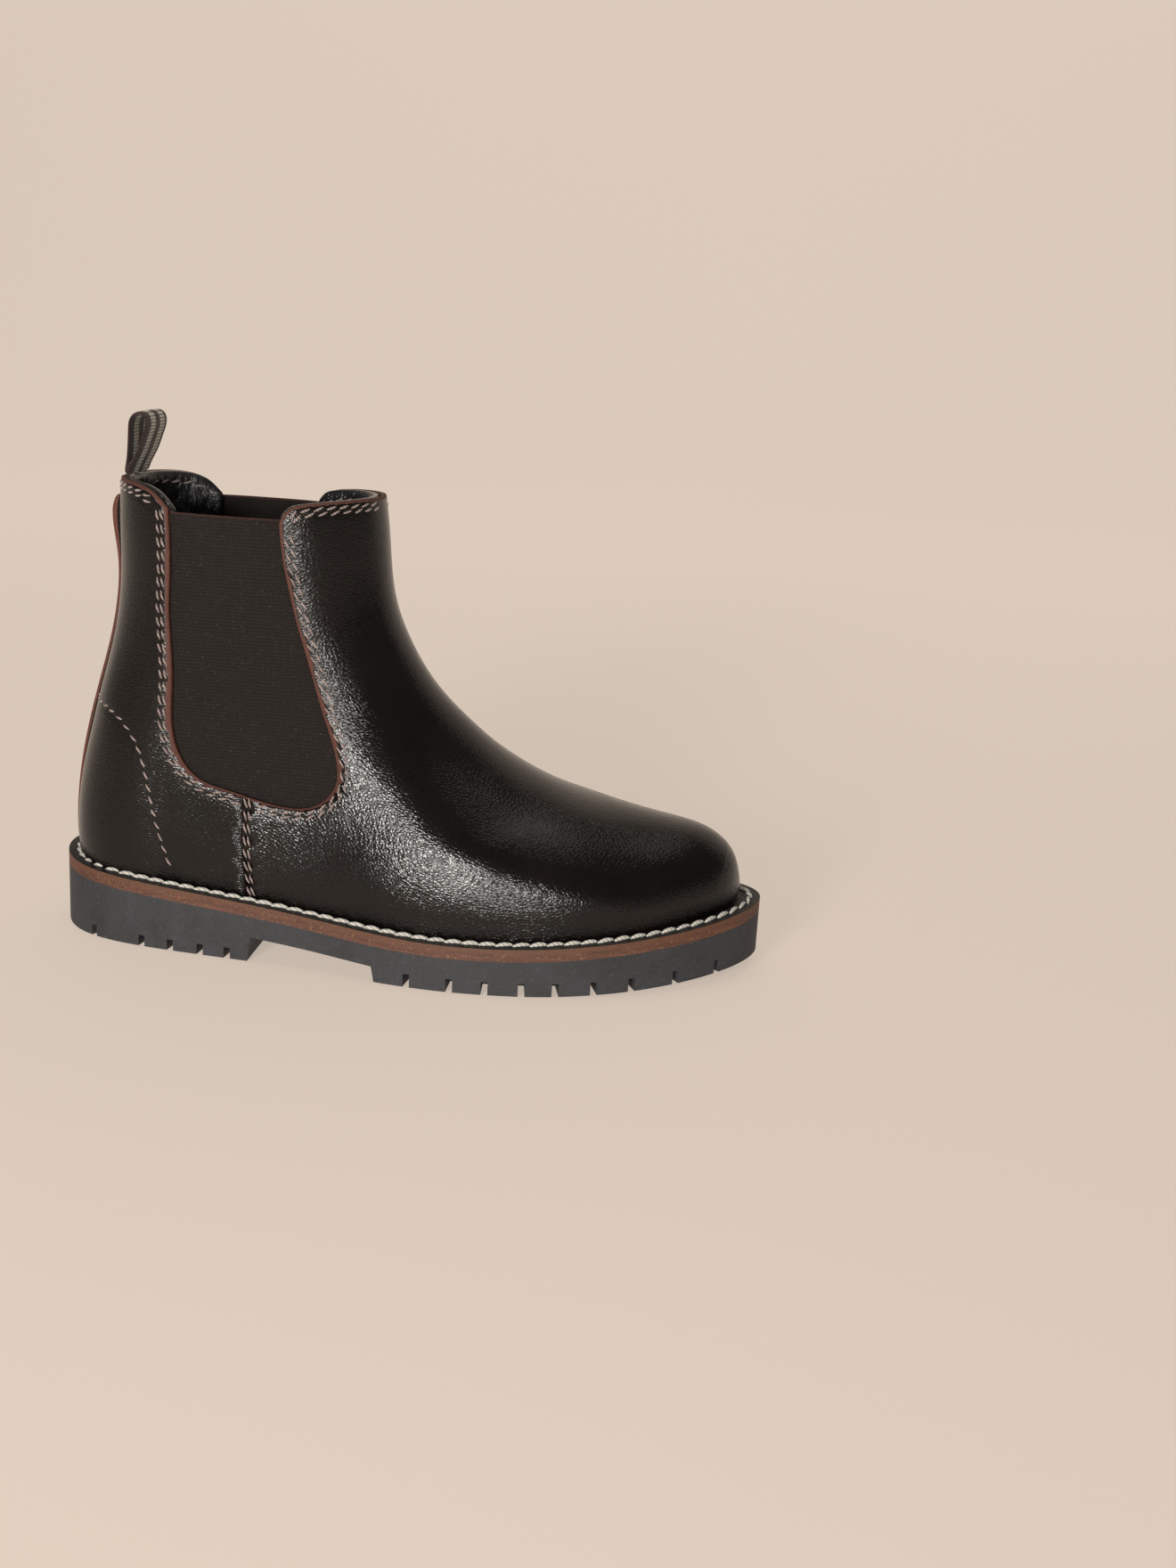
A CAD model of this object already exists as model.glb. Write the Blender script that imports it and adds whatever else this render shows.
import math
import random

import bmesh
import bpy
import numpy as np
from mathutils import Matrix, Vector
from mathutils.geometry import delaunay_2d_cdt


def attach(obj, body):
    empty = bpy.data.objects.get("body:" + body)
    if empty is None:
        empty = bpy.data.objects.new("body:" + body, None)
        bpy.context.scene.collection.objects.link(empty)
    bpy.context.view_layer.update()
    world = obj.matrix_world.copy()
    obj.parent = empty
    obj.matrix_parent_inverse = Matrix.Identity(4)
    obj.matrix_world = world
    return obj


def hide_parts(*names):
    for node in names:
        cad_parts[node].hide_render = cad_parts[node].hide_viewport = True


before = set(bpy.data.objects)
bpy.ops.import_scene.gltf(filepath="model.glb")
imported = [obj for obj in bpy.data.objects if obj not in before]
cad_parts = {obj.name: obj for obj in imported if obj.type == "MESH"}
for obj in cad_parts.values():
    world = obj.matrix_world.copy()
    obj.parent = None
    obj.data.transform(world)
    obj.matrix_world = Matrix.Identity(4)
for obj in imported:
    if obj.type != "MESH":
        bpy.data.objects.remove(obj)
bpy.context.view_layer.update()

# The boot is in millimetres here, as it is designed, and in metres once a mesh is made.
MM = 0.001


def placed(name, data):
    """A new object with this data, in the scene."""
    made = bpy.data.objects.new(name, data)
    bpy.context.scene.collection.objects.link(made)
    return made


# ---- the upper's form: the same fan of sections as the CAD model has ----
SOLE_OUTLINE = [(-113.5, 0), (-104.5, -21), (-73.6, -32.3), (-25.8, -38.4), (10.4, -45.35),
                (80.7, -32.5), (113.5, 4), (89.1, 33.2), (45.5, 45.75), (-19.8, 29.8),
                (-77.2, 34.1), (-104.5, 21)]
WELT_TOP = [(-125, 24.4), (-113.5, 23.5), (-55, 19.6), (10, 15.0), (60, 16.1), (113.5, 22.5),
            (125, 24.6)]
FEATHER_INSET = [(-113.5, 4.9), (-60, 5.6), (60, 5.8), (113.5, 6.4)]
# Each row: the front point (x, z), the back or bottom point (x, z), and how deep the rounding
# reaches in from the front and from the back.
FAN = [(-12.0, 158.0, -93.4, 160.0, 40, 36),
       (-11.8, 143.0, -93.8, 144.0, 40, 36),
       (-10.6, 131.0, -94.2, 130.0, 40, 36),
       (-8.2, 113.0, -94.3, 113.0, 41, 35),
       (-1.8, 96.3, -96.6, 96.0, 43, 34),
       (7.4, 83.1, -100.2, 82.0, 45, 33),
       (18.5, 72.3, -104.0, 68.0, 46, 32),
       (29.5, 64.2, -107.3, 53.0, 46, 31),
       (39.0, 58.7, -109.2, 38.0, 46, 30),
       (46.0, 55.6, -108.9, 22.0, 45, 30),
       (51.5, 53.7, -99.0, 8.0, 42, 29),
       (57.0, 52.1, -66.0, 4.0, 38, 25),
       (62.5, 50.7, -26.0, 2.0, 34, 18),
       (69.0, 49.2, 14.0, 2.0, 30, 12),
       (77.0, 47.7, 44.0, 3.0, 27, 9),
       (85.5, 46.3, 67.0, 5.0, 24, 8),
       (93.5, 44.4, 82.0, 7.5, 21, 7),
       (100.0, 40.8, 92.5, 10.5, 17, 6),
       (104.6, 35.2, 99.6, 13.5, 13, 5),
       (106.7, 27.0, 104.4, 16.0, 8, 4)]
ROUND_FRONT = 2.0
ROUND_BACK = 2.3
RIDGE_SHIFT = [(-120, 0), (20, 0), (70, 2.4), (113.5, 4)]
SHAFT_HALF_WIDTH = [(0, 25.6), (45, 25.6), (75, 25.8), (100, 26.8), (125, 28.2), (160, 29.6)]
SHAFT_BLEND = (22.0, 84.0)
HEEL_FULL_WIDTH = -74.0
TOE_SPLIT = 60.0
SPLIT_MARGIN = 1.5

# ---- pattern lines in the side view (x, z) ----
SEAM_TOP = (-48, 51.4)
GORE_BACK_EDGE = [(-72.4, 138), (-72.1, 128), (-72.3, 118), (-72.8, 108), (-72.2, 96), (-71.9, 86),
                  (-72.3, 76), (-71.6, 67.8), (-68.8, 60.9), (-62.9, 55.3), (-54.5, 52.8), SEAM_TOP]
GORE_FRONT_EDGE = [SEAM_TOP, (-41.5, 50), (-33, 49), (-26, 50.2), (-21.4, 53.6), (-19.1, 57.6),
                   (-18.8, 61.5), (-20.3, 68.4), (-23.6, 77.5), (-26.7, 86.9), (-29.6, 96.5),
                   (-32.5, 106.2), (-34.9, 116.1), (-36.8, 125.8), (-37.8, 136)]
BACK_TOP = [(-98, 144.8), (-84.5, 144.4), (-77.5, 142.4), (-73.6, 139.2)]
FRONT_TOP = [(-36.7, 138.4), (-34.4, 140.6), (-30.5, 141.7), (-22, 142.6), (-6, 143.3)]
SIDE_SEAM = [SEAM_TOP, (-48, 44), (-47.8, 33), (-46.6, 23), (-44.6, 8)]
COUNTER_LINE = [(-101.8, 74.6), (-91.5, 72.4), (-84.2, 65.6), (-80.6, 56), (-78.6, 46.3),
                (-76.2, 36.4), (-70.9, 21.7)]
LEATHER = 1.6
MIDDLE_LAYER = 1.2
LINING = 1.0
FOOT_DROP = 1.2


def spline_through(points):
    """Natural cubic curve through (x, y) pairs, as a function of x."""
    xs, ys = (np.array(column, float) for column in zip(*points))
    step = np.diff(xs)
    rows = np.eye(len(xs))
    bend = np.zeros(len(xs))
    for i in range(1, len(xs) - 1):
        rows[i, i - 1:i + 2] = step[i - 1], 2 * (step[i - 1] + step[i]), step[i]
        bend[i] = 6 * ((ys[i + 1] - ys[i]) / step[i] - (ys[i] - ys[i - 1]) / step[i - 1])
    curve = np.linalg.solve(rows, bend)

    def value(x):
        x = np.clip(x, xs[0], xs[-1])
        i = np.clip(np.searchsorted(xs, x) - 1, 0, len(xs) - 2)
        left, right, gap = xs[i + 1] - x, x - xs[i], step[i]
        cubic = (curve[i] * left ** 3 + curve[i + 1] * right ** 3) / (6 * gap)
        line = (ys[i] * left + ys[i + 1] * right) / gap
        return cubic + line - gap * (curve[i] * left + curve[i + 1] * right) / 6

    return value


def run_length(line):
    """Distance along a line to each of its points."""
    return np.concatenate([[0], np.cumsum(np.linalg.norm(np.diff(line, axis=0), axis=1))])


def unit(rows):
    """Each row scaled to length one."""
    return rows / np.linalg.norm(rows, axis=1)[:, None]


def smooth_line(points, pitch=1.0):
    """Points about `pitch` mm apart on the smooth line through the given points."""
    corners = np.array(points, float)
    along = run_length(corners)
    at = np.linspace(0, along[-1], max(int(along[-1] / pitch), 2) + 1)
    columns = [spline_through(list(zip(along, corners[:, k])))(at) for k in range(corners.shape[1])]
    return np.stack(columns, axis=1)


def closed_curve(points, count):
    """Even samples of the smooth closed curve through the points."""
    ring = np.array(points, float)
    laps = np.vstack([ring, ring, ring, ring[:1]])
    chord = np.linalg.norm(np.diff(laps, axis=0), axis=1) ** 0.7
    along = np.concatenate([[0], np.cumsum(chord)])
    at = np.linspace(along[len(ring)], along[2 * len(ring)], count, endpoint=False)
    return np.stack([spline_through(list(zip(along, laps[:, k])))(at) for k in (0, 1)], axis=1)


def inset_outline(distance, count=720):
    """The sole outline moved inwards; distance may vary along x."""
    ring = closed_curve(SOLE_OUTLINE, count)
    along = unit(np.roll(ring, -1, axis=0) - np.roll(ring, 1, axis=0))
    inward = np.stack([-along[:, 1], along[:, 0]], axis=1)
    depth = distance(ring[:, 0]) if callable(distance) else distance
    return ring + inward * np.reshape(depth, (-1, 1))


welt_top = spline_through(WELT_TOP)
feather = inset_outline(spline_through(FEATHER_INSET))
ridge = spline_through(RIDGE_SHIFT)
shaft_half_width = spline_through(SHAFT_HALF_WIDTH)
fan_columns = [spline_through(list(enumerate(column))) for column in zip(*FAN)]


def feather_table(side):
    """The upper's foot on one side, sorted by x."""
    over_middle = np.where(feather[:, 0] < TOE_SPLIT, SPLIT_MARGIN, 0)
    half = feather[feather[:, 1] * side > -over_middle]
    half = half[(half[:, 1] - ridge(half[:, 0])) * side >= 0]
    return half[np.argsort(half[:, 0])]


feather_sides = {side: feather_table(side) for side in (-1, 1)}


def blend_up(z):
    """0 at the foot of the upper, 1 in the shaft, smooth between."""
    low, high = SHAFT_BLEND
    k = np.clip((z - low) / (high - low), 0, 1)
    return k * k * (3 - 2 * k)


def rounding(depth, reach, power):
    """Closure of a section near its end: 0 at the end, 1 from `reach` inwards."""
    k = np.clip(1 - depth / reach, 0, 1)
    return (1 - k ** power) ** (1 / power)


def silhouette_point(s, first, sheet, outward):
    """Front (first=0) or back (first=2) end of section s, moved in by the sheet's thickness."""
    x, z = fan_columns[first], fan_columns[first + 1]
    dx, dz = x(s + 0.05) - x(s - 0.05), z(s + 0.05) - z(s - 0.05)
    move = outward * sheet / np.hypot(dx, dz)
    return x(s) + dz * move, z(s) - dx * move


def upper_point(s, v, sheet=0.0):
    """The upper at section s, v radians round it: 0 front, pi back, lateral where v is positive."""
    front_x, front_z = silhouette_point(s, 0, sheet, 1)
    back_x, back_z = silhouette_point(s, 2, sheet, -1)
    length = np.hypot(back_x - front_x, back_z - front_z)
    share = (1 - np.cos(v)) / 2
    x = front_x + (back_x - front_x) * share
    z = front_z + (back_z - front_z) * share
    reach_front = np.maximum(fan_columns[4](s) - sheet, 3)
    reach_back = np.maximum(fan_columns[5](s) - sheet, 3)
    close = rounding(length * share, reach_front, ROUND_FRONT)
    close = close * rounding(length * (1 - share), reach_back, ROUND_BACK)
    lateral = np.sin(v) >= 0
    held = np.maximum(x, HEEL_FULL_WIDTH)
    low = np.where(lateral, *(np.abs(np.interp(held, table[:, 0], table[:, 1]) - ridge(x))
                              for table in (feather_sides[-1], feather_sides[1])))
    wide = low + (shaft_half_width(z) - low) * blend_up(z) - sheet
    y = ridge(x) + np.where(lateral, -1, 1) * wide * close
    return np.stack([x, y, z], axis=-1)


def upper_normal(s, v, sheet=0.0):
    """Outward unit normal of the upper."""
    small = 0.004
    along_s = upper_point(s + small, v, sheet) - upper_point(s - small, v, sheet)
    along_v = upper_point(s, v + small, sheet) - upper_point(s, v - small, sheet)
    normal = np.cross(along_v, along_s)
    return normal / np.maximum(np.linalg.norm(normal, axis=-1, keepdims=True), 1e-9)


LAST_S = len(FAN) - 1.0
FINE_S = np.linspace(0, LAST_S, 1520)
FINE_FRONT = np.stack(silhouette_point(FINE_S, 0, 0.0, 1), axis=1)
FINE_BACK = np.stack(silhouette_point(FINE_S, 2, 0.0, -1), axis=1)


def to_fan(points, side=-1):
    """(s, v) of side-view points on the lateral (-1) or medial (1) side."""
    found = []
    run = FINE_BACK - FINE_FRONT
    for x, z in points:
        cross = run[:, 0] * (z - FINE_FRONT[:, 1]) - run[:, 1] * (x - FINE_FRONT[:, 0])
        change = np.nonzero(np.diff(np.sign(cross)))[0]
        i = change[0] if len(change) else len(FINE_S) - 2
        k = cross[i] / (cross[i] - cross[i + 1]) if len(change) else 0
        s = FINE_S[i] + k * (FINE_S[i + 1] - FINE_S[i])
        front = FINE_FRONT[i] * (1 - k) + FINE_FRONT[i + 1] * k
        line = run[i] * (1 - k) + run[i + 1] * k
        share = np.dot((x, z) - front, line) / np.dot(line, line)
        v = math.acos(1 - 2 * min(max(share, 0), 1))
        found.append((s, v if side < 0 else -v))
    return np.array(found)


def sole_line(x_from, x_to, pitch=1.5):
    """Side-view points along the foot of the upper, just under the welt's top."""
    xs = np.linspace(x_from, x_to, int(abs(x_to - x_from) / pitch) + 2)
    return np.stack([xs, welt_top(xs) - FOOT_DROP], axis=1)


# ---- camera ----
CAMERA_PLACE = (101.1, -535.2, 204.8)
CAMERA_TURN = 4.83
CAMERA_DOWN = 15.45
CAMERA_ROLL = 3.40
CAMERA_LENS = 40.1


def make_camera():
    """The camera at the viewing angle of the real picture, with no shift."""
    turn, down, roll = (math.radians(a) for a in (CAMERA_TURN, CAMERA_DOWN, CAMERA_ROLL))
    forward = Vector((-math.sin(turn) * math.cos(down), math.cos(turn) * math.cos(down),
                      -math.sin(down)))
    level = Vector((math.cos(turn), math.sin(turn), 0))
    rise = level.cross(forward)
    right = math.cos(roll) * level + math.sin(roll) * rise
    up = right.cross(forward)
    camera = placed("camera", bpy.data.cameras.new("camera"))
    camera.data.lens = CAMERA_LENS
    camera.data.clip_start = 0.01
    axes = Matrix((right, up, -forward)).transposed().to_4x4()
    camera.matrix_world = Matrix.Translation(Vector(CAMERA_PLACE) * MM) @ axes
    bpy.context.scene.camera = camera


# ---- materials ----
RIB_PITCH = 1.07
HEM_LINE = (136.5, 136.7)
STRIPE_MIDDLE = 0.55
STRIPE_PLACE = 4.05
STRIPE_HALF = 2.15


class Paint:
    """A node material with short calls for what the materials here need."""

    def __init__(self, name, **surface):
        self.material = bpy.data.materials.new(name)
        self.material.use_nodes = True
        self.tree = self.material.node_tree
        self.shader = self.tree.nodes["Principled BSDF"]
        for socket, value in surface.items():
            self.shader.inputs[socket.replace("_", " ")].default_value = value
        place = self.tree.nodes.new("ShaderNodeTexCoord")
        scaled = self.tree.nodes.new("ShaderNodeVectorMath")
        scaled.operation = "SCALE"
        scaled.inputs["Scale"].default_value = 1 / MM
        self.link(place.outputs["Object"], scaled.inputs[0])
        self.place = scaled.outputs["Vector"]

    def link(self, source, target):
        self.tree.links.new(source, target)

    def node(self, kind, **settings):
        node = self.tree.nodes.new("ShaderNode" + kind)
        for key, value in settings.items():
            setattr(node, key, value)
        return node

    def stretched(self, scale):
        """The place, scaled along each axis."""
        node = self.node("VectorMath", operation="MULTIPLY")
        self.link(self.place, node.inputs[0])
        node.inputs[1].default_value = scale
        return node.outputs["Vector"]

    def noise(self, size, detail=3.0, scale=(1, 1, 1), roughness=0.55):
        """Noise with features about `size` mm across."""
        node = self.node("TexNoise")
        self.link(self.stretched(scale), node.inputs["Vector"])
        node.inputs["Scale"].default_value = 1 / size
        node.inputs["Detail"].default_value = detail
        node.inputs["Roughness"].default_value = roughness
        return node.outputs["Fac"]

    def cells(self, size, feature="DISTANCE_TO_EDGE", scale=(1, 1, 1)):
        """Cells about `size` mm across."""
        node = self.node("TexVoronoi", feature=feature)
        self.link(self.stretched(scale), node.inputs["Vector"])
        node.inputs["Scale"].default_value = 1 / size
        return node.outputs["Distance"]

    def wave(self, pitch, axis, distortion=0.0):
        """A ripple along X, Y or Z with that pitch in mm."""
        node = self.node("TexWave", wave_type="BANDS", bands_direction=axis, wave_profile="SIN")
        self.link(self.place, node.inputs["Vector"])
        node.inputs["Scale"].default_value = 2 * math.pi / (20 * pitch)
        node.inputs["Distortion"].default_value = distortion
        node.inputs["Detail"].default_value = 1.0
        return node.outputs["Fac"]

    def spread(self, value, low, high, to_low=0.0, to_high=1.0):
        """Maps a value range onto another, clamped."""
        node = self.node("MapRange")
        self.link(value, node.inputs["Value"])
        for socket, number in (("From Min", low), ("From Max", high), ("To Min", to_low),
                               ("To Max", to_high)):
            node.inputs[socket].default_value = number
        return node.outputs["Result"]

    def combine(self, first, second, operation="MULTIPLY"):
        node = self.node("Math", operation=operation)
        for socket, value in zip(node.inputs, (first, second)):
            if isinstance(value, (int, float)):
                socket.default_value = value
            else:
                self.link(value, socket)
        return node.outputs["Value"]

    def distance_to(self, value, middle):
        """How far a value lies from a number, either way."""
        return self.combine(self.combine(value, middle, "SUBTRACT"), 0, "ABSOLUTE")

    def axis(self, name):
        """One coordinate of the place, in mm."""
        node = self.node("SeparateXYZ")
        self.link(self.place, node.inputs[0])
        return node.outputs[name]

    def stored(self, name):
        """A value kept on the mesh; 0 where the mesh has none."""
        return self.node("Attribute", attribute_name=name).outputs["Fac"]

    def facing_up(self):
        """The surface's own upward lean, -1 to 1."""
        normal = self.node("SeparateXYZ")
        self.link(self.node("NewGeometry").outputs["Normal"], normal.inputs[0])
        return normal.outputs["Z"]

    def mix(self, amount, first, second):
        """Blends two colours by a value."""
        node = self.node("Mix", data_type="RGBA")
        self.link(amount, node.inputs["Factor"])
        for name, value in (("A", first), ("B", second)):
            socket = [i for i in node.inputs if i.name == name and i.type == "RGBA"][0]
            if isinstance(value, tuple):
                socket.default_value = (*value, 1)
            else:
                self.link(value, socket)
        return [o for o in node.outputs if o.type == "RGBA"][0]

    def bump(self, height, depth, strength=1.0):
        """Adds a relief of `depth` mm on top of any that is there."""
        node = self.node("Bump")
        node.inputs["Strength"].default_value = strength
        node.inputs["Distance"].default_value = depth * MM
        self.link(height, node.inputs["Height"])
        normal = self.shader.inputs["Normal"]
        if normal.is_linked:
            self.link(normal.links[0].from_socket, node.inputs["Normal"])
        self.link(node.outputs["Normal"], normal)

    def colour(self, source):
        self.link(source, self.shader.inputs["Base Color"])

    def roughness(self, source):
        self.link(source, self.shader.inputs["Roughness"])


def upper_leather(name, dark, warm):
    """Glazed smooth leather with fine pebbled grain and creases."""
    paint = Paint(name, Specular_IOR_Level=0.35)
    patches = paint.spread(paint.noise(26, 4), 0.35, 0.7)
    worn = paint.spread(paint.stored("edge_wear"), 0.48, 0.58)
    raw = paint.mix(paint.noise(0.7, 5), (0.035, 0.013, 0.009), (0.125, 0.046, 0.032))
    paint.colour(paint.mix(worn, paint.mix(patches, dark, warm), raw))
    pebbles = paint.spread(paint.cells(1.15, scale=(1, 1, 1.4)), 0.0, 0.32)
    creases = paint.noise(1.1, 3, scale=(1, 1, 1.3), roughness=0.5)
    glaze = paint.spread(paint.noise(9, 5), 0.3, 0.7, 0.15, 0.21)
    paint.roughness(paint.combine(glaze, paint.combine(worn, 0.5), "ADD"))
    paint.bump(pebbles, 0.042)
    paint.bump(creases, 0.050)
    return paint.material


def raw_edge():
    """The cut edge of the leather: matt, reddish, fibrous."""
    paint = Paint("raw_leather_edge", Specular_IOR_Level=0.3)
    fibres = paint.noise(0.7, 6, roughness=0.7)
    paint.colour(paint.mix(paint.spread(fibres, 0.3, 0.7), (0.050, 0.018, 0.012),
                           (0.150, 0.055, 0.036)))
    paint.roughness(paint.spread(fibres, 0.2, 0.8, 0.6, 0.85))
    paint.bump(fibres, 0.18)
    return paint.material


def gore_elastic():
    """Ribbed elastic: cross ribs, finer warp lines and a few pale flecks."""
    paint = Paint("gore_elastic", Specular_IOR_Level=0.25)
    ribs = paint.wave(RIB_PITCH, "Z", 0.5)
    warp = paint.wave(0.62, "X", 0.5)
    speckle = paint.spread(paint.noise(0.5, 3), 0.3, 0.7, 0.45, 1.0)
    weave = paint.combine(paint.spread(ribs, 0, 1, 0.45, 1.0), paint.spread(warp, 0, 1, 0.5, 1.0))
    weave = paint.combine(weave, speckle)
    flecks = paint.spread(paint.noise(0.55, 2), 0.64, 0.74)
    base = paint.mix(paint.spread(weave, 0.1, 0.8), (0.0034, 0.0023, 0.0019),
                     (0.0160, 0.0108, 0.0086))
    base = paint.mix(paint.spread(paint.axis("Z"), *HEM_LINE), base, (0.045, 0.019, 0.015))
    paint.colour(paint.mix(paint.combine(flecks, 0.40), base, (0.12, 0.085, 0.075)))
    paint.roughness(paint.spread(weave, 0, 1, 0.9, 0.7))
    paint.bump(weave, 0.28)
    return paint.material


def lining_leather():
    """Thin glazed black lining, wrinkled."""
    paint = Paint("lining_leather", Specular_IOR_Level=0.5, Coat_Weight=0.3, Coat_Roughness=0.2)
    creases = paint.noise(3.0, 4, scale=(1, 1, 0.5), roughness=0.55)
    paint.colour(paint.mix(creases, (0.004, 0.004, 0.005), (0.013, 0.012, 0.013)))
    paint.roughness(paint.spread(creases, 0.3, 0.7, 0.16, 0.30))
    paint.bump(paint.spread(paint.cells(0.8), 0, 0.3), 0.05)
    paint.bump(creases, 1.5)
    return paint.material


def thread(name, dark, light, twist):
    """Plied thread: slanting plies and a little fuzz."""
    paint = Paint(name, Specular_IOR_Level=0.35, Sheen_Weight=0.2)
    plies = paint.wave(twist, "DIAGONAL", 0.4)
    fuzz = paint.noise(0.5, 4)
    both = paint.combine(paint.spread(plies, 0, 1, 0.3, 1.0), paint.spread(fuzz, 0.2, 0.7, 0.6, 1))
    paint.colour(paint.mix(both, dark, light))
    paint.roughness(paint.spread(fuzz, 0, 1, 0.6, 0.85))
    paint.bump(both, 0.15)
    return paint.material


def welt_leather():
    """Black on top, brown on its burnished edge."""
    paint = Paint("welt_leather", Specular_IOR_Level=0.4)
    grain = paint.noise(1.2, 5)
    top = paint.spread(paint.facing_up(), 0.45, 0.8)
    edge = paint.mix(grain, (0.055, 0.022, 0.011), (0.125, 0.052, 0.026))
    black = paint.mix(grain, (0.006, 0.005, 0.005), (0.016, 0.013, 0.012))
    paint.colour(paint.mix(top, edge, black))
    paint.roughness(paint.spread(grain, 0.3, 0.7, 0.5, 0.7))
    paint.bump(grain, 0.15)
    return paint.material


def midsole_leather():
    """Stacked leather edge: fibrous, streaked lengthwise, paler where it is worn."""
    paint = Paint("midsole_leather", Specular_IOR_Level=0.35)
    streaks = paint.noise(1.6, 6, scale=(0.16, 0.16, 1.6), roughness=0.6)
    stain = paint.noise(14, 3)
    specks = paint.spread(paint.noise(0.8, 4), 0.56, 0.68)
    body = paint.mix(paint.spread(streaks, 0.3, 0.7), (0.052, 0.020, 0.012),
                     (0.128, 0.051, 0.030))
    body = paint.mix(paint.combine(paint.spread(stain, 0.4, 0.7), 0.5), body,
                     (0.070, 0.028, 0.015))
    paint.colour(paint.mix(paint.combine(specks, 0.35), body, (0.30, 0.17, 0.10)))
    paint.roughness(paint.spread(streaks, 0.3, 0.7, 0.5, 0.72))
    paint.bump(streaks, 0.25)
    return paint.material


def sole_rubber():
    """Matt moulded rubber with faint mottling and dust."""
    paint = Paint("rubber", Specular_IOR_Level=0.35)
    mottle = paint.noise(11, 5, roughness=0.6)
    dust = paint.spread(paint.noise(1.3, 5), 0.55, 0.75)
    base = paint.mix(paint.spread(mottle, 0.3, 0.7), (0.019, 0.019, 0.0215),
                     (0.032, 0.032, 0.0365))
    paint.colour(paint.mix(paint.combine(dust, 0.25), base, (0.10, 0.095, 0.09)))
    paint.roughness(paint.spread(mottle, 0.3, 0.7, 0.55, 0.72))
    paint.bump(paint.noise(0.6, 3), 0.05)
    paint.bump(mottle, 0.3)
    return paint.material


def loop_webbing():
    """Dark tape with two cream ribbed stripes along it."""
    paint = Paint("loop_webbing", Specular_IOR_Level=0.3, Sheen_Weight=0.15)
    from_middle = paint.distance_to(paint.axis("Y"), STRIPE_MIDDLE)
    from_stripe = paint.distance_to(from_middle, STRIPE_PLACE)
    stripe = paint.spread(from_stripe, STRIPE_HALF - 0.12, STRIPE_HALF + 0.12, 1, 0)
    ribs = paint.wave(1.0, "Z", 0.1)
    twill = paint.wave(0.7, "DIAGONAL", 0.2)
    cream = paint.mix(paint.spread(ribs, 0.1, 0.6), (0.26, 0.23, 0.185), (0.78, 0.75, 0.65))
    brown = paint.mix(twill, (0.010, 0.005, 0.004), (0.040, 0.018, 0.015))
    paint.colour(paint.mix(stripe, brown, cream))
    paint.roughness(paint.spread(ribs, 0, 1, 0.85, 0.65))
    paint.bump(paint.combine(ribs, stripe), 0.4)
    paint.bump(twill, 0.15)
    return paint.material


def mottled(name, dark, light, size, rough=0.7, depth=0.2, metallic=0.0):
    """A plain grained material for the pieces inside."""
    paint = Paint(name, Metallic=metallic)
    grain = paint.noise(size, 5, roughness=0.65)
    paint.colour(paint.mix(paint.spread(grain, 0.3, 0.7), dark, light))
    paint.roughness(paint.spread(grain, 0, 1, rough - 0.1, rough + 0.1))
    paint.bump(grain, depth)
    return paint.material


# ---- meshes: a sheet is cut out flat in (s, v), whose units are about this many mm ----
S_SCALE, V_SCALE = 12.0, 30.0
ROW_CENTRES = (1.6, 3.1)
SIDE_ROW_CENTRES = (0.75, 2.05)
GORE_PANEL = [(-79, 137.2), (-78.6, 100), (-77.6, 66), (-71, 50), (-58, 46.5), (-40, 42.5),
              (-25, 42), (-12.5, 47), (-8.5, 58), (-11, 72), (-18, 90), (-25, 112),
              (-30, 137.2)]
LINING_CLEAR = 0.05
LEATHER_GRID, LINING_GRID = 1.3, 1.8
POINT_GAP = 0.25


def add_piece(name, points, faces, materials, body, nodes, face_materials=None, wear=None):
    """Makes an object of points in mm, which rides on a body and stands for CAD nodes."""
    mesh = bpy.data.meshes.new(name)
    mesh.from_pydata([tuple(p) for p in np.asarray(points) * MM], [], faces)
    for material in materials:
        mesh.materials.append(material)
    if face_materials is not None:
        mesh.polygons.foreach_set("material_index", face_materials)
    mesh.polygons.foreach_set("use_smooth", [True] * len(mesh.polygons))
    if wear is not None:
        mesh.attributes.new("edge_wear", "FLOAT", "POINT").data.foreach_set("value", wear)
    form = bmesh.new()
    form.from_mesh(mesh)
    bmesh.ops.recalc_face_normals(form, faces=form.faces)
    form.to_mesh(mesh)
    form.free()
    piece = placed(name, mesh)
    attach(piece, body)
    if nodes:
        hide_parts(*nodes)
    return piece


def line_distance(points, line):
    """Distance from each side-view point to a polyline."""
    starts, runs = line[:-1], np.diff(line, axis=0)
    best = np.full(len(points), 1e9)
    for a, r in zip(starts, runs):
        k = np.clip((points - a) @ r / max(r @ r, 1e-9), 0, 1)
        best = np.minimum(best, np.linalg.norm(points - (a + k[:, None] * r), axis=1))
    return best


def above_foot(line):
    """Only the part of a side-view line that is above the foot of the upper."""
    return np.array([p for p in line if p[1] > welt_top(p[0]) - FOOT_DROP])


BACK_TOP_LINE = smooth_line(BACK_TOP)
FRONT_TOP_LINE = smooth_line(FRONT_TOP)
GORE_BACK_LINE = smooth_line(GORE_BACK_EDGE)
GORE_FRONT_LINE = smooth_line(GORE_FRONT_EDGE)
SEAM_LINE = above_foot(smooth_line(SIDE_SEAM))


def open_ends(chain, limit):
    """Drops the points that lie on or past the boot's middle."""
    return chain[np.abs(chain[:, 1] - limit) > 0.02]


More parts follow.
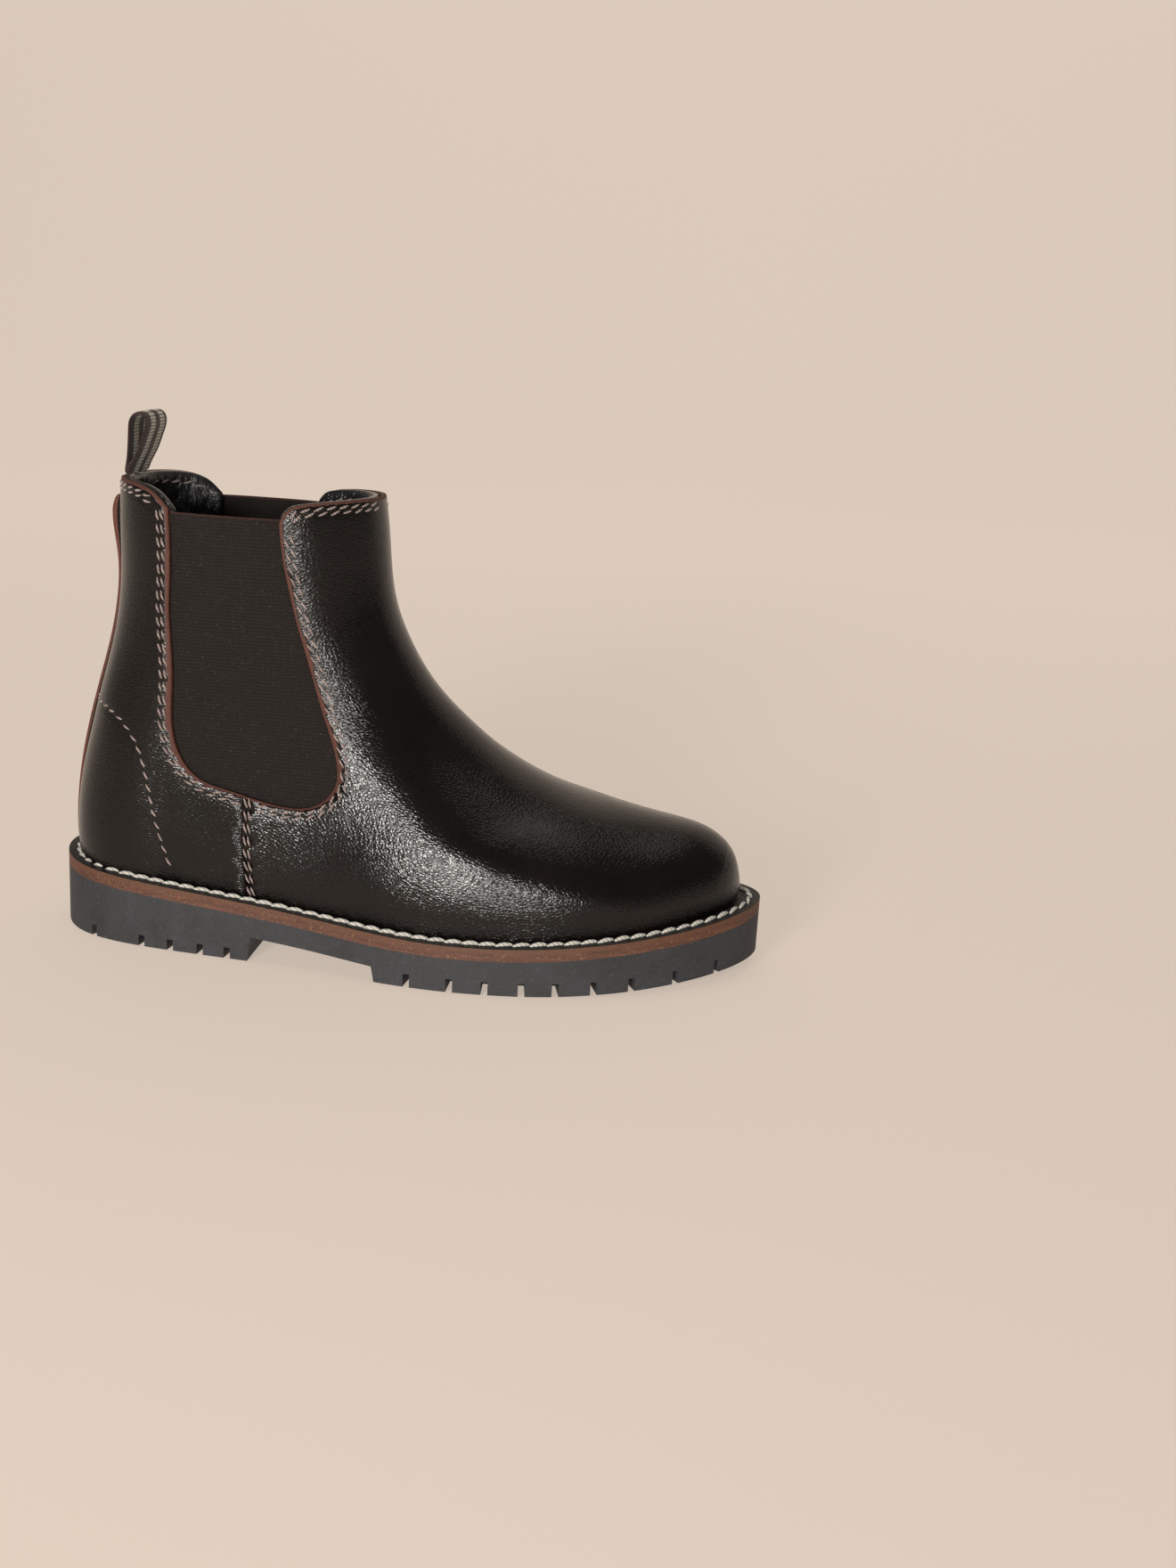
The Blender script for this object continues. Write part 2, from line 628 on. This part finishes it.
def vamp_outline():
    """The vamp in (s, v): its lateral edge from collar to toe, the toe, and the medial edge."""
    front = open_ends(to_fan(FRONT_TOP_LINE[::-1]), 0)
    gore = to_fan(GORE_FRONT_LINE[::-1])
    seam = to_fan(SEAM_LINE[1:])
    foot = to_fan(sole_line(SEAM_LINE[-1][0] + 1, 104.5))
    foot = foot[foot[:, 0] < LAST_S - 0.05]
    top = [(front[0][0], 0.0)]
    half = np.vstack([top, front, gore, seam, foot])
    toe_v = foot[-1][1]
    toe = [(LAST_S, v) for v in np.linspace(toe_v, -toe_v, 17)]
    return np.vstack([half, toe, half[::-1] * (1, -1)])


def quarter_side():
    """Outline of the lateral quarter in (s, v)."""
    top = open_ends(to_fan(BACK_TOP_LINE), math.pi)
    gore = to_fan(GORE_BACK_LINE)
    seam = to_fan(SEAM_LINE[1:])
    foot = open_ends(to_fan(sole_line(SEAM_LINE[-1][0] - 1, -109)), math.pi)
    back = [(s, math.pi) for s in np.linspace(foot[-1][0], top[0][0], 90)]
    return np.vstack([top, gore, seam, foot]), back


def thinned(outline):
    """An outline without repeated points."""
    kept = [outline[0]]
    for point in outline[1:]:
        step = (np.array(point) - kept[-1]) * (S_SCALE, V_SCALE)
        if np.hypot(*step) > POINT_GAP:
            kept.append(np.array(point))
    if np.hypot(*((kept[-1] - kept[0]) * (S_SCALE, V_SCALE))) < POINT_GAP:
        kept.pop()
    return np.array(kept)


def fill(outline, pitch):
    """Triangles inside an (s, v) outline, with grid points between."""
    flat = thinned(outline) * (S_SCALE, V_SCALE)
    low, high = flat.min(axis=0), flat.max(axis=0)
    columns = np.arange(low[0] + pitch / 2, high[0], pitch)
    rows = np.arange(low[1] + pitch / 2, high[1], pitch * 0.87)
    grid = np.array([(x + (n % 2) * pitch / 2, y) for n, y in enumerate(rows) for x in columns])
    ring = np.vstack([flat, flat[:1]])
    far = line_distance(grid, ring) > pitch * 0.55
    grid = grid[far & inside(grid, flat)]
    count = len(flat)
    points = [Vector(p) for p in np.vstack([flat, grid])]
    edges = [(i, (i + 1) % count) for i in range(count)]
    verts, _, faces, *_ = delaunay_2d_cdt(points, edges, [], 1, 1e-4)
    return np.array([tuple(v) for v in verts]) / (S_SCALE, V_SCALE), [list(f) for f in faces]


def inside(points, ring):
    """Which points lie within a closed ring."""
    found = np.zeros(len(points), bool)
    x, y = points[:, 0], points[:, 1]
    for (ax, ay), (bx, by) in zip(ring, np.roll(ring, -1, axis=0)):
        if ay != by:
            crosses = (ay > y) != (by > y)
            found ^= crosses & (x < (bx - ax) * (y - ay) / (by - ay) + ax)
    return found


def boundary(faces):
    """Directed edges that only one face has."""
    seen = {}
    for face in faces:
        for a, b in zip(face, face[1:] + face[:1]):
            seen[(a, b)] = True
    return [(a, b) for a, b in seen if (b, a) not in seen]


def closed(outer, inner, faces):
    """Joins a sheet's two sides by its cut edge, which is the second material."""
    count = len(outer)
    rim = [[b, a, a + count, b + count] for a, b in boundary(faces)]
    back = [[i + count for i in face[::-1]] for face in faces]
    kinds = [0] * (2 * len(faces)) + [1] * len(rim)
    return np.vstack([outer, inner]), faces + back + rim, kinds


def shell(outline, near, far, relief, pitch=LEATHER_GRID, inner_relief=None):
    """A closed sheet between two depths, and its (s, v); relief lifts its outside."""
    flat, faces = fill(outline, pitch)
    s, v = flat[:, 0], flat[:, 1]
    lift = relief(upper_point(s, v, near)) if relief else np.zeros(len(s))
    outer = upper_point(s, v, near) + upper_normal(s, v, near) * lift[:, None]
    inner = upper_point(s, v, far)
    if inner_relief:
        inner = inner + upper_normal(s, v, far) * inner_relief(inner)[:, None]
    return closed(outer, inner, faces), flat


# ---- the upper ----
EDGE_ROUND = 0.8
EDGE_DROP = 0.28
GROOVE_DEPTH = 0.20
GROOVE_WIDTH = 1.1
WEAR_REACH = 1.2
LAP_RISE = 0.8
LAP_REACH = 6.0
TOE_BULGE = 0.5
HEM_MIDDLE = 135.4
HEM_REACH = 1.3


def nearest(points, lines):
    """Side-view distance from each point to the nearest of some lines."""
    return np.min([line_distance(points[:, (0, 2)], line) for line in lines], axis=0)


def edge_wear(points, lines):
    """1 on the cut edge along `lines`, falling to 0 just inside it."""
    return np.clip(1 - nearest(points, lines) / WEAR_REACH, 0, 1)


def groove(away):
    """How deep a row of stitching sinks the leather at some distance from it."""
    return GROOVE_DEPTH * np.exp(-(away / (GROOVE_WIDTH / 2)) ** 2)


def wrinkle(points, seed, size, depth):
    """Soft folds: a few crossing waves, fixed by the seed."""
    dice = random.Random(seed)
    total = np.zeros(len(points))
    for _ in range(7):
        way = Vector([dice.uniform(-1, 1) for _ in range(3)]).normalized()
        pitch = size * dice.uniform(0.6, 1.7)
        total += np.sin(points @ np.array(way) * 2 * math.pi / pitch + dice.uniform(0, 6.3))
    return depth * total / 7


def edge_relief(points, edges, sewn):
    """A rounded cut edge along some lines, and a sunk groove for each row of stitching."""
    lift = -EDGE_DROP * np.clip(1 - nearest(points, edges) / EDGE_ROUND, 0, 1) ** 2
    for row in ROW_CENTRES:
        lift -= groove(nearest(points, sewn) - row)
    return lift + wrinkle(points, 3, 24, 0.28)


def vamp_relief(points):
    """The vamp also rises where its edge lies over the quarter."""
    sewn = [FRONT_TOP_LINE, GORE_FRONT_LINE]
    lift = edge_relief(points, [*sewn, SEAM_LINE], sewn)
    lap = np.clip(1 - nearest(points, [SEAM_LINE]) / LAP_REACH, 0, 1)
    return lift + LAP_RISE * lap * lap * (3 - 2 * lap)


def quarter_relief(points):
    """The quarter also has the groove of the counter's row."""
    sewn = [BACK_TOP_LINE, GORE_BACK_LINE]
    lift = edge_relief(points, sewn, sewn)
    return lift - groove(nearest(points, [smooth_line(COUNTER_LINE)]))


def cap_rows(points, ring, columns, push):
    """Rows of vertex numbers across the tip of the toe; adds the points between to the list."""
    rows = []
    half = len(ring) // 2
    for i in range(half):
        a, b = ring[i], ring[-1 - i]
        between = []
        for k in range(1, columns):
            share = k / columns
            bulge = push * 4 * share * (1 - share) * min(1, (half - i) / 3)
            points.append(points[a] + (points[b] - points[a]) * share + np.array([bulge, 0, 0]))
            between.append(len(points) - 1)
        rows.append([a, *between, b])
    return rows


def close_toe(points, faces, kinds, flat, columns=8):
    """Covers the end of the fan at the tip of the toe, inside and out."""
    count = len(flat)
    tip = [i for i in range(count) if abs(flat[i, 0] - LAST_S) < 1e-3]
    ring = sorted(tip, key=lambda i: -flat[i, 1])
    there = set(ring)
    kept = [n for n, f in enumerate(faces) if not (kinds[n] and there.issuperset(f[:2]))]
    faces, kinds = [faces[n] for n in kept], [kinds[n] for n in kept]
    points = list(points)
    bottoms = []
    for shift, push in ((0, TOE_BULGE), (count, 0)):
        layer = [i + shift for i in ring]
        rows = cap_rows(points, layer, columns, push)
        for low, high in zip(rows, rows[1:]):
            faces += [[low[k], low[k + 1], high[k + 1], high[k]] for k in range(columns)]
        apex = layer[len(layer) // 2]
        faces += [[rows[-1][k], rows[-1][k + 1], apex] for k in range(columns)]
        bottoms.append(rows[0])
    out, within = bottoms
    faces += [[out[k], out[k + 1], within[k + 1], within[k]] for k in range(columns)]
    kinds += [0] * (len(faces) - len(kinds) - columns) + [1] * columns
    return np.array(points), faces, kinds


def soften_toe(points, faces, flat, rounds=14):
    """Rounds the leather's outside over the edge of the toe's cap; the foot line stays."""
    count = len(flat)
    near = set(np.nonzero(flat[:, 0] > LAST_S - 1.6)[0]) | set(range(2 * count, len(points)))
    near = {i for i in near if points[i][2] > welt_top(points[i][0]) - 0.2}
    beside = {i: set() for i in near}
    for face in faces:
        if any(count <= i < 2 * count for i in face):
            continue
        for a, b in zip(face, face[1:] + face[:1]):
            for one, other in ((a, b), (b, a)):
                if one in beside:
                    beside[one].add(other)
    beside = {i: sorted(ring) for i, ring in beside.items() if ring}
    for _ in range(rounds):
        moved = {i: points[ring].mean(axis=0) for i, ring in beside.items()}
        for i, place in moved.items():
            points[i] = 0.5 * (points[i] + place)
    return points


def make_vamp(leather, raw):
    """The front leather, closed over the toe, where its inside steps back by its thickness."""
    (points, faces, kinds), flat = shell(vamp_outline(), 0.0, LEATHER, vamp_relief)
    thick = np.clip((flat[:, 0] - LAST_S + 1.5) / 1.5, 0, 1)
    points[len(flat):, 0] -= LEATHER * thick
    points, faces, kinds = close_toe(points, faces, kinds, flat)
    points = soften_toe(points, faces, flat)
    wear = edge_wear(points, [FRONT_TOP_LINE, GORE_FRONT_LINE])
    add_piece("vamp_leather", points, faces, [leather, raw], "boot", ["vamp"],
              kinds, wear)


def make_quarters(leather, raw):
    """The two leathers round the heel."""
    chain, back = quarter_side()
    for name, flip in (("lateral", 1), ("medial", -1)):
        outline = np.vstack([chain, back]) * (1, flip)
        (points, faces, kinds), _ = shell(outline, 0.0, LEATHER, quarter_relief)
        wear = edge_wear(points, [BACK_TOP_LINE, GORE_BACK_LINE])
        add_piece(f"quarter_leather_{name}", points, faces, [leather, raw], "boot",
                  [f"quarter_{name}"], kinds, wear)


def gore_relief(points):
    """A rolled hem at the top of the elastic, which otherwise dips a little in its opening."""
    hem = np.exp(-((points[:, 2] - HEM_MIDDLE) / HEM_REACH) ** 2)
    return 0.35 * hem - 0.15 + wrinkle(points, 5, 30, 0.15)


def make_gores(elastic):
    """The elastic panels, which run on behind the leather's edges."""
    sides = smooth_line(GORE_PANEL)
    top = np.linspace(GORE_PANEL[-1], GORE_PANEL[0], 40)[1:-1]
    chain = to_fan(np.vstack([sides, top]))
    deep = LEATHER + MIDDLE_LAYER
    for name, flip in (("lateral", 1), ("medial", -1)):
        (points, faces, _), _ = shell(chain * (1, flip), LEATHER, deep, gore_relief)
        add_piece(f"gore_elastic_{name}", points, faces, [elastic], "boot",
                  [f"gore_{name}"])


def lining_folds(points):
    """Soft wrinkles, sunk a little inwards."""
    return wrinkle(points, 9, 9, 0.38) - 0.30


def make_linings(lining):
    """The lining behind the vamp and the gores' fronts, and the one round the heel."""
    near = LEATHER + MIDDLE_LAYER + LINING_CLEAR
    far = LEATHER + MIDDLE_LAYER + LINING
    half, _ = quarter_side()
    far_half = np.stack([half[:, 0], 2 * math.pi - half[:, 1]], axis=1)[::-1]
    for node, outline in (("vamp_lining", vamp_outline()),
                          ("quarter_lining", np.vstack([half, far_half]))):
        (points, faces, _), _ = shell(outline, near, far, None, LINING_GRID, lining_folds)
        add_piece(f"{node}_leather", points, faces, [lining], "boot", [node])


# ---- stitches ----
THREAD_WIDTH = 0.7
STITCH_PITCH = 4.05
STITCH_SHARE = 0.76
STITCH_SLANT = 1.0
STITCH_ARCH = 0.26
STITCH_LIFT = -0.06
INSIDE_LIFT = 0.45
STITCH_SEED = 40
WELT_INSET = 3.2
WELT_LIFT = 0.35
WELT_PITCH = 5.2
WELT_STITCH = 5.5
WELT_RADIUS = 0.66
WELT_ARCH = 0.42
WELT_SEED = 77
ASKEW = (0.13, 0.21, 0.97)


def tube(path, radii, sides=8):
    """Points and faces of a closed tube along a path."""
    path = np.array(path)
    along = unit(np.gradient(path, axis=0))
    across = unit(np.cross(along, ASKEW))
    other = np.cross(across, along)
    points, faces = [], []
    for p, a, b, r in zip(path, across, other, radii):
        for k in range(sides):
            turn = 2 * math.pi * k / sides
            points.append(p + r * (math.cos(turn) * a + math.sin(turn) * b))
    for i in range(len(path) - 1):
        for k in range(sides):
            a, b = i * sides + k, i * sides + (k + 1) % sides
            faces.append([a, b, b + sides, a + sides])
    faces.append(list(range(sides))[::-1])
    faces.append([len(points) - sides + k for k in range(sides)])
    return points, faces


def stitch(start, end, normal, radius, slant, arch):
    """One stitch between two holes: it dips at both ends and leans to one side."""
    along = end - start
    side = np.cross(normal, along / np.linalg.norm(along))
    path, radii = [], []
    for k in np.linspace(0, 1, 7):
        bow = math.sin(math.pi * k)
        path.append(start + along * k + normal * (arch * bow - 0.15) + side * slant * (k - 0.5))
        radii.append(radius * (0.30 + 0.70 * bow ** 0.6))
    return tube(path, radii)


def append_mesh(points, faces, more, extra):
    """Adds one mesh's points and faces to the lists of another."""
    faces += [[i + len(points) for i in face] for face in extra]
    points += more


def row_of_stitches(line, normals, pitch, length, radius, slant, arch, seed):
    """Stitches at an even pitch along a line in space."""
    along = run_length(line)
    dice = random.Random(seed)
    points, faces = [], []
    for n in range(int(along[-1] / pitch)):
        middle = (n + 0.5) * pitch
        ends = [middle - length / 2, middle + length / 2]
        start, end = (np.array([np.interp(e, along, line[:, k]) for k in range(3)]) for e in ends)
        normal = np.array([np.interp(middle, along, normals[:, k]) for k in range(3)])
        normal /= np.linalg.norm(normal)
        more, extra = stitch(start, end, normal, radius * dice.uniform(0.92, 1.08),
                             slant * dice.uniform(0.7, 1.3), arch)
        append_mesh(points, faces, more, extra)
    return points, faces


def offset_line(line, distance):
    """A side-view line moved to its left."""
    along = unit(np.gradient(line, axis=0))
    return line + distance * np.stack([-along[:, 1], along[:, 0]], axis=1)


def on_leather(line, sign, lift, inside=False):
    """A side-view line laid on one side of the upper, outside or in, with its normals."""
    fan = to_fan(line)
    keep = (fan[:, 1] > 0.03) & (fan[:, 1] < math.pi - 0.03)
    s, v = fan[keep, 0], fan[keep, 1] * sign
    sheet = (LEATHER + MIDDLE_LAYER + LINING) * inside
    normals = upper_normal(s, v, sheet) * (1 - 2 * inside)
    return upper_point(s, v, sheet) + normals * lift, normals


def sewn_rows(name, lines, node, material, lift=STITCH_LIFT):
    """All the rows of one seam as one piece; lines are (side-view line, side, inside or not)."""
    points, faces = [], []
    for n, (line, sign, inside) in enumerate(lines):
        place, normals = on_leather(line, sign, lift + INSIDE_LIFT * inside, inside)
        more, extra = row_of_stitches(place, normals, STITCH_PITCH, STITCH_PITCH * STITCH_SHARE,
                                      THREAD_WIDTH / 2, STITCH_SLANT, STITCH_ARCH,
                                      STITCH_SEED + n)
        append_mesh(points, faces, more, extra)
    add_piece(name, points, faces, [material], "boot", [node])


def make_stitches(brown):
    """The brown rows: gores, collar (outside and in), side seams and counter."""
    for name, sign in (("lateral", 1), ("medial", -1)):
        rows = [(offset_line(line, -inset), sign, False) for inset in ROW_CENTRES
                for line in (GORE_BACK_LINE, GORE_FRONT_LINE)]
        sewn_rows(f"gore_thread_{name}", rows, f"gore_stitching_{name}", brown)
    both = (1, -1)
    collar = [(offset_line(line, -inset), sign, False) for inset in ROW_CENTRES
              for line in (BACK_TOP_LINE, FRONT_TOP_LINE) for sign in both]
    collar += [(offset_line(line, -ROW_CENTRES[1]), sign, True)
               for line in (BACK_TOP_LINE, FRONT_TOP_LINE) for sign in both]
    sewn_rows("collar_thread", collar, "collar_stitching", brown)
    seam = [(offset_line(SEAM_LINE, inset), sign, False) for inset in SIDE_ROW_CENTRES
            for sign in both]
    sewn_rows("side_seam_thread", seam, "side_seam_stitching", brown, LAP_RISE - 0.1)
    counter = [(offset_line(smooth_line(COUNTER_LINE), THREAD_WIDTH / 2), sign, False)
               for sign in both]
    sewn_rows("counter_thread", counter, "counter_stitching", brown)


def make_welt_thread(cream):
    """The thick lock-stitch along the top of the welt."""
    ring = inset_outline(WELT_INSET, 1440)
    line = np.stack([ring[:, 0], ring[:, 1], welt_top(ring[:, 0]) + WELT_LIFT], axis=1)
    line = np.vstack([line, line[:1]])
    normals = np.tile((0.0, 0.0, 1.0), (len(line), 1))
    points, faces = row_of_stitches(line, normals, WELT_PITCH, WELT_STITCH, WELT_RADIUS,
                                    STITCH_SLANT, WELT_ARCH, WELT_SEED)
    add_piece("welt_lock_stitch", points, faces, [cream], "boot",
              ["welt_stitching"])


# ---- the seam up the back ----
STRIP_HALF = 1.8
STRIP_PROUD = 2.7
STRIP_BULGE = 2.0
STRIP_FULLEST = 133.0
STRIP_TOP = 139.0
STRIP_SUNK = 0.4
STRIP_FOOT = 0.9
STRIP_FADE = 1.5
EDGE_DIP = 0.35
REACH_BELOW, REACH_ABOVE = 12.0, 5.5
RING_STEPS = 121


def make_back_strip(leather, raw):
    """A raised seam up the back, its cut edges outwards, fuller near the collar."""
    low = welt_top(SOLE_OUTLINE[0][0]) + STRIP_FOOT
    at = FINE_S[(FINE_BACK[:, 1] >= low) & (FINE_BACK[:, 1] <= STRIP_TOP)][::6]
    across = np.sin(np.linspace(-1.5, 1.5, 17)) / math.sin(1.5)
    points = []
    for s in at:
        around = np.linspace(math.pi - 0.6, math.pi + 0.6, RING_STEPS)
        ring = upper_point(np.full(RING_STEPS, s), around)
        height = ring[RING_STEPS // 2][2]
        end = min(1, (STRIP_TOP - height) / STRIP_FADE + 0.15)
        reach = REACH_ABOVE if height > STRIP_FULLEST else REACH_BELOW
        full = STRIP_PROUD + STRIP_BULGE * math.exp(-((height - STRIP_FULLEST) / reach) ** 2)
        for k in across:
            y = k * STRIP_HALF
            x, z = (np.interp(y, ring[:, 1], ring[:, axis]) for axis in (0, 2))
            proud = full * end * (1 - abs(k) ** 5) - EDGE_DIP * abs(k) ** 5
            points.append((x - proud, y, z))
    count = len(across)
    faces = [[i * count + k, i * count + k + 1, (i + 1) * count + k + 1, (i + 1) * count + k]
             for i in range(len(at) - 1) for k in range(count - 1)]
    points = np.array(points)
    edge = [int(2 < k < count - 4) for _ in range(len(at) - 1) for k in range(count - 1)]
    under = points * (0, 1, 1) + (points[:, :1].reshape(-1, count).max(axis=1).repeat(count)
                                  + STRIP_SUNK)[:, None] * (1, 0, 0)
    points, faces, kinds = closed(points, under, faces)
    kinds[:len(edge)] = edge
    add_piece("back_seam_cover", points, faces, [leather, raw], "boot",
              ["back_seam_strip"], kinds)


# ---- the pull loop ----
LOOP_WIDTH = 19.0
LOOP_THICK = 0.9
LOOP_FOOT = (-91.0, 145.95)
LOOP_OUTSIDE = [(-91.9, 145.95), (-91.3, 149), (-90.9, 153), (-90.6, 159), (-89.9, 162.6),
                (-87.6, 164.4), (-85.2, 163.8), (-84.3, 161.5), (-85.3, 157), (-87.4, 151.5),
                (-89.2, 148), (-90.1, 145.95)]
LOOP_INSIDE = [(-90.3, 149.2), (-90, 153), (-89.7, 159), (-89.1, 162.1), (-87.55, 163.45),
               (-85.85, 163.05), (-85.25, 161.4), (-86.2, 157.2), (-88.2, 152), (-90, 149.2)]
LOOP_EDGE_ROUND = 0.3


def resampled(line, count):
    """The same line with evenly spaced points."""
    along = run_length(line)
    at = np.linspace(0, along[-1], count)
    return np.stack([np.interp(at, along, line[:, k]) for k in range(line.shape[1])], axis=1)


def make_pull_loop(webbing):
    """A ring of tape: outer and inner walls, and slightly soft selvedges."""
    turn = np.linspace(0, -math.pi / 2, 6)
    radius = LOOP_THICK
    right = [(LOOP_FOOT[0] + radius * math.cos(a), LOOP_FOOT[1] + radius * math.sin(a))
             for a in turn]
    left = [(2 * LOOP_FOOT[0] - x, z) for x, z in right[::-1]]
    body = smooth_line(LOOP_OUTSIDE, 0.4)
    outer = resampled(np.vstack([left[:-1], body, right[1:]]), 120)
    inner = resampled(np.vstack([smooth_line(LOOP_INSIDE, 0.4), LOOP_INSIDE[:1]]), 120)
    half = LOOP_WIDTH / 2
    across = np.linspace(-1, 1, 25)
    soft = LOOP_EDGE_ROUND * np.abs(across) ** 14
    points = []
    for line, other in ((outer, inner), (inner, outer)):
        for k, ease in zip(across, soft):
            for a, b in zip(line[:-1], other[:-1]):
                x, z = a + (b - a) * ease
                points.append((x, k * half, z))
    ring = len(outer) - 1
    wall = ring * len(across)
    faces = []
    for j in range(len(across) - 1):
        for i in range(ring):
            a, b = j * ring + i, j * ring + (i + 1) % ring
            faces.append([a, b, b + ring, a + ring])
            faces.append([wall + b, wall + a, wall + a + ring, wall + b + ring])
    last = ring * (len(across) - 1)
    for i in range(ring):
        n = (i + 1) % ring
        faces.append([i, wall + i, wall + n, n])
        faces.append([last + n, wall + last + n, wall + last + i, last + i])
    add_piece("pull_loop_tape", points, faces, [webbing], "loop", ["pull_loop"])


# ---- materials of the CAD pieces that stay ----
def dress(node, material):
    """Puts one material on a CAD node."""
    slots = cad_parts[node].data.materials
    if slots:
        slots[0] = material
    else:
        slots.append(material)


def dress_nodes(webbing):
    """Gives every CAD node that stays in view its own material."""
    interlining = mottled("interlining", (0.030, 0.020, 0.015), (0.075, 0.050, 0.038), 0.7)
    stiffener = mottled("stiffener", (0.20, 0.14, 0.09), (0.34, 0.25, 0.17), 1.4)
    steel = mottled("steel", (0.35, 0.35, 0.36), (0.55, 0.55, 0.56), 0.9, 0.4, 0.03, 1.0)
    dress("outsole", sole_rubber())
    dress("midsole", midsole_leather())
    dress("welt", welt_leather())
    for node in ("vamp_interlining", "quarter_interlining"):
        dress(node, interlining)
    for node in ("heel_counter", "toe_puff"):
        dress(node, stiffener)
    for node in ("shank", "heel_nails"):
        dress(node, steel)
    dress("pull_loop_ends", webbing)
    dress("bottom_filler", mottled("cork", (0.12, 0.06, 0.025), (0.36, 0.22, 0.11), 1.8))
    dress("insole_board", mottled("insole_board", (0.25, 0.17, 0.10), (0.42, 0.31, 0.20), 1.1))
    dress("heel_pad", mottled("foam", (0.30, 0.28, 0.22), (0.48, 0.46, 0.38), 0.9))
    dress("sock_liner", mottled("sock_leather", (0.010, 0.009, 0.009), (0.028, 0.024, 0.022), 1.6,
                                0.5, 0.12))


# ---- floor, backdrop and light, in metres ----
SWEEP_FRONT, SWEEP_BACK, SWEEP_TOP = -2.5, 1.3, 3.5
SWEEP_BEND = 0.9
SWEEP_HALF_WIDTH = 4.0
FLOOR_GAP = 0.0003


def make_sweep():
    """A pale floor that curves up into the backdrop."""
    profile = [(SWEEP_FRONT, 0.0), (SWEEP_BACK, 0.0)]
    profile += [(SWEEP_BACK + SWEEP_BEND * math.sin(a), SWEEP_BEND - SWEEP_BEND * math.cos(a))
                for a in np.linspace(0, math.pi / 2, 17)[1:]]
    profile.append((SWEEP_BACK + SWEEP_BEND, SWEEP_TOP))
    points = [(x, y, z - FLOOR_GAP) for y, z in profile
              for x in (-SWEEP_HALF_WIDTH, SWEEP_HALF_WIDTH)]
    faces = [[2 * i, 2 * i + 1, 2 * i + 3, 2 * i + 2] for i in range(len(profile) - 1)]
    mesh = bpy.data.meshes.new("sweep")
    mesh.from_pydata(points, [], faces)
    mesh.polygons.foreach_set("use_smooth", [True] * len(faces))
    paint = Paint("sweep_paper", Roughness=0.9, Specular_IOR_Level=0.15)
    paint.colour(paint.mix(paint.noise(600, 3), (0.35, 0.295, 0.250), (0.365, 0.308, 0.262)))
    glow = paint.mix(paint.spread(paint.axis("Y"), -300, 900), (0.585, 0.50, 0.427),
                     (0.72, 0.616, 0.526))
    paint.link(glow, paint.shader.inputs["Emission Color"])
    paint.shader.inputs["Emission Strength"].default_value = 0.74
    mesh.materials.append(paint.material)
    sweep = placed("sweep", mesh)


LIGHTS = [("low_left", (-0.30, -1.16, 0.31), (0.26, 0.36), 12.0),
          ("low_right", (0.17, -1.19, 0.13), (0.46, 0.24), 6.4),
          ("overhead", (0.0, 0.10, 2.2), (1.8, 1.4), 9.0)]
LAMPS_AIM = (0, 0, 0.06)


def make_lights():
    """Two low lamps in front, a large one overhead, and a dim warm world."""
    world = bpy.data.worlds.new("studio")
    world.use_nodes = True
    back = world.node_tree.nodes["Background"]
    back.inputs["Color"].default_value = (1.0, 0.93, 0.86, 1)
    back.inputs["Strength"].default_value = 0.14
    bpy.context.scene.world = world
    bpy.context.scene.view_settings.view_transform = "Standard"
    for name, place, size, power in LIGHTS:
        lamp = bpy.data.lights.new(name, "AREA")
        lamp.shape = "RECTANGLE"
        lamp.size, lamp.size_y = size
        lamp.energy = power
        lamp.color = (1.0, 0.96, 0.92)
        light = placed(name, lamp)
        light.location = place
        aim = Vector(LAMPS_AIM) - light.location
        light.rotation_euler = aim.to_track_quat("-Z", "Y").to_euler()


def main():
    leather = upper_leather("upper_leather", (0.0022, 0.0018, 0.0016), (0.0048, 0.0033, 0.0028))
    raw = raw_edge()
    webbing = loop_webbing()
    make_vamp(leather, raw)
    make_quarters(leather, raw)
    make_gores(gore_elastic())
    make_linings(lining_leather())
    make_stitches(thread("thread_brown", (0.060, 0.042, 0.037), (0.38, 0.295, 0.265), 0.8))
    make_welt_thread(thread("thread_cream", (0.20, 0.185, 0.155), (0.66, 0.64, 0.57), 1.0))
    make_back_strip(leather, raw)
    make_pull_loop(webbing)
    dress_nodes(webbing)
    make_sweep()
    make_lights()
    make_camera()


main()
